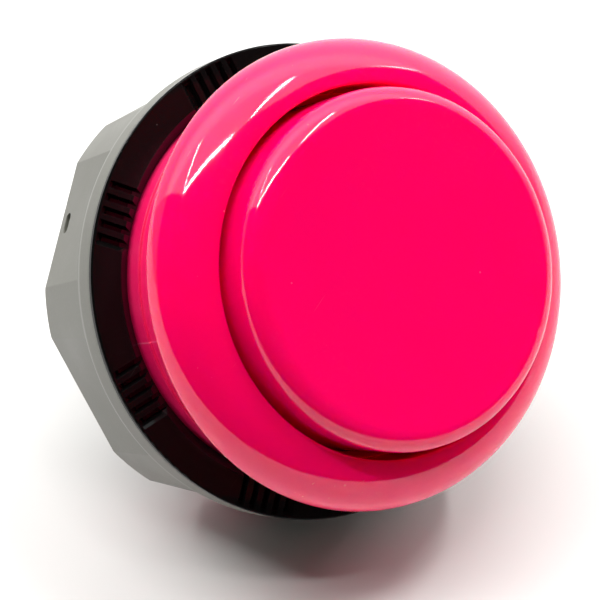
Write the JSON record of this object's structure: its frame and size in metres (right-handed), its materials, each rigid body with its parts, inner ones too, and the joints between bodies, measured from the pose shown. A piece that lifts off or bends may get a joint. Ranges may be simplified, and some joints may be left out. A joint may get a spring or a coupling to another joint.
{
  "type": "arcade push button",
  "caption": "Round screw-in arcade push button: domed rim, flat-topped sprung plunger, threaded neck, grooved clamp ring, lock nut with wrench flats and blade terminals.",
  "frame": {"origin": "centre of the panel hole, on the plane of the rim's underside, which is the panel's front face", "axes": "+Z along the press axis, out of the panel towards the player; +X through terminal_right"},
  "size_m": [0.0355, 0.0354, 0.034],
  "materials": {
    "body_pink": "polished hot pink rim, finely matt neck",
    "plunger_pink": "polished hot pink",
    "ring_black": "polished black",
    "nut_grey": "satin warm grey with a fine grain",
    "holder_black": "satin black",
    "board_green": "green solder mask",
    "switch_dark": "satin charcoal",
    "stem_red": "satin red",
    "spring_steel": "bright drawn wire",
    "contact_brass": "rolled strip",
    "terminal_brass": "rolled and stamped strip",
    "screw_steel": "zinc plated"
  },
  "bodies": {
    "body": {"button_body": "body_pink", "switch_holder": "holder_black", "rear_cover": "holder_black", "circuit_board": "board_green", "switch_base": "switch_dark", "switch_cap": "switch_dark", "return_spring": "spring_steel", "fixed_contact": "contact_brass", "moving_contact": "contact_brass", "terminal_left": "terminal_brass", "terminal_right": "terminal_brass", "board_screws": "screw_steel"},
    "button": {"plunger": "plunger_pink", "switch_stem": "stem_red"},
    "ring": {"clamp_ring": "ring_black"},
    "nut": {"lock_nut": "nut_grey"}
  },
  "joints": [
    {"name": "plunger_press", "type": "slide", "parent": "body", "child": "button", "axis": [0, 0, 1], "range_m": [-0.003, 0], "stiffness_N_per_m": 120, "springref_m": 0.0025, "deforming": ["return_spring"]},
    {"name": "nut_travel", "type": "slide", "parent": "body", "child": "ring", "axis": [0, 0, 1], "range_m": [0, 0.0054]},
    {"name": "nut_turn", "type": "hinge", "parent": "ring", "child": "nut", "pos_m": [0, 0, -0.012], "axis": [0, 0, 1], "range_deg": [0, 972]}
  ],
  "couplings": [
    {"joint": "nut_turn", "follows": "nut_travel", "rad_per_m": 3141.6}
  ]
}
